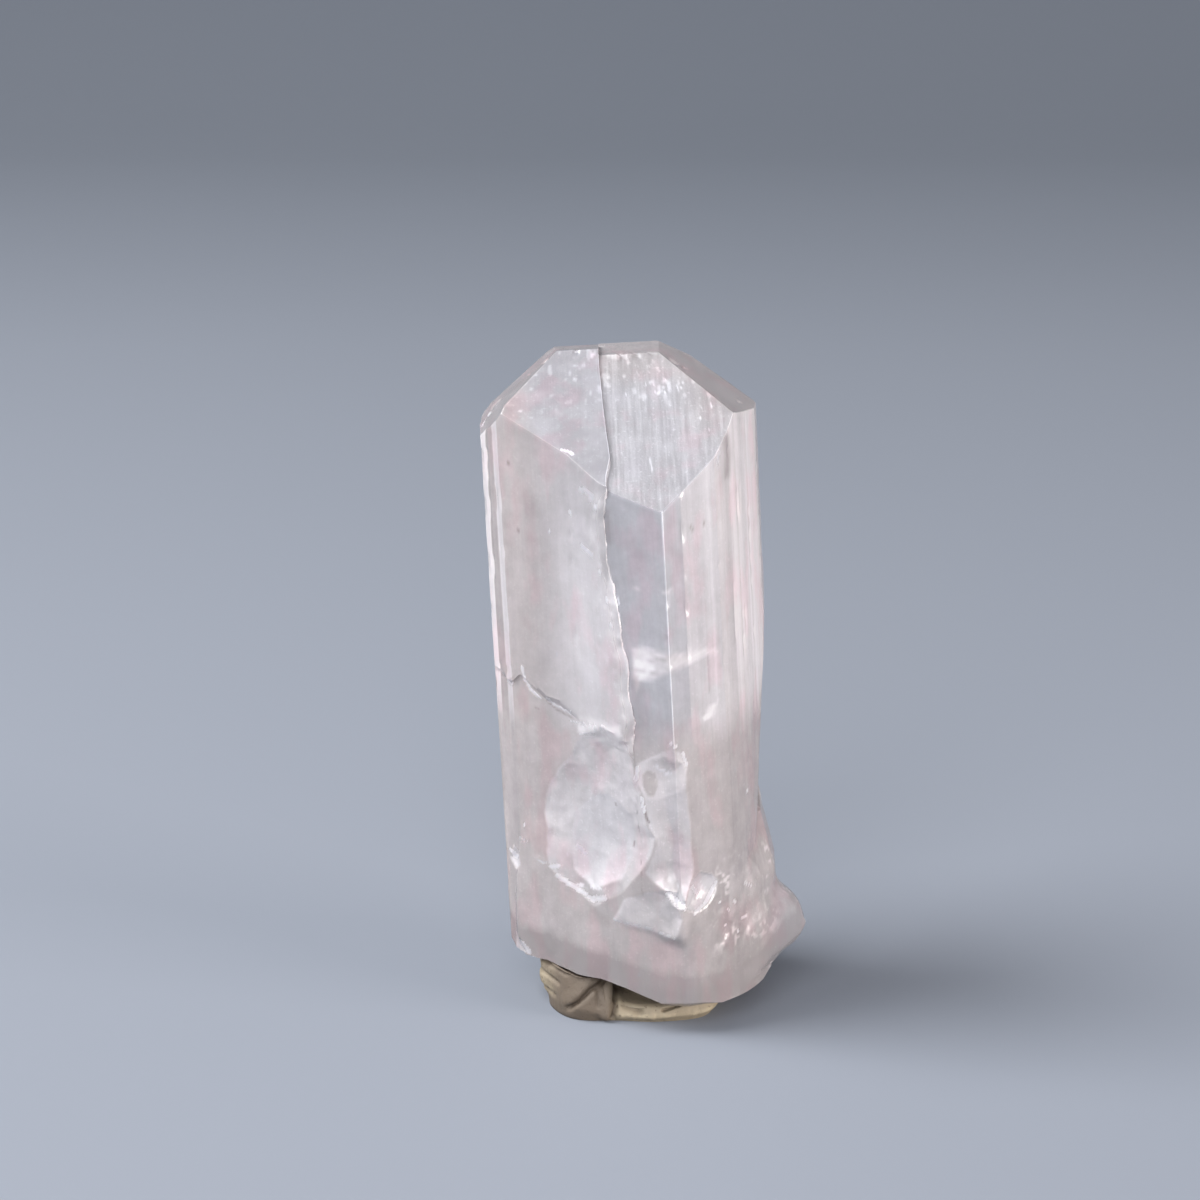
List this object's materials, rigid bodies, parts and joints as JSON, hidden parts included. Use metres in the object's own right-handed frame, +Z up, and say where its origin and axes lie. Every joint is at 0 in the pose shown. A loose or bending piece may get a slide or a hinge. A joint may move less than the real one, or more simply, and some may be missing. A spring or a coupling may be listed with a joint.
{
  "type": "danburite crystal specimen",
  "caption": "Pale pink danburite crystal, parallel prisms with wedge-shaped tops and a broken foot, standing upright on a lump of beige display putty.",
  "frame": {"origin": "centre of the putty's flat underside, on the surface that the specimen stands on", "axes": "+Z up, along the crystal's length, +X to the viewer's right, the wedge edge and the scars face -Y"},
  "size_m": [0.022, 0.0192, 0.0446],
  "materials": {
    "danburite": "natural crystal faces, partly etched",
    "putty": "matte, pinched by hand"
  },
  "bodies": {
    "root": {"crystal": "danburite", "putty": "putty"}
  },
  "joints": []
}
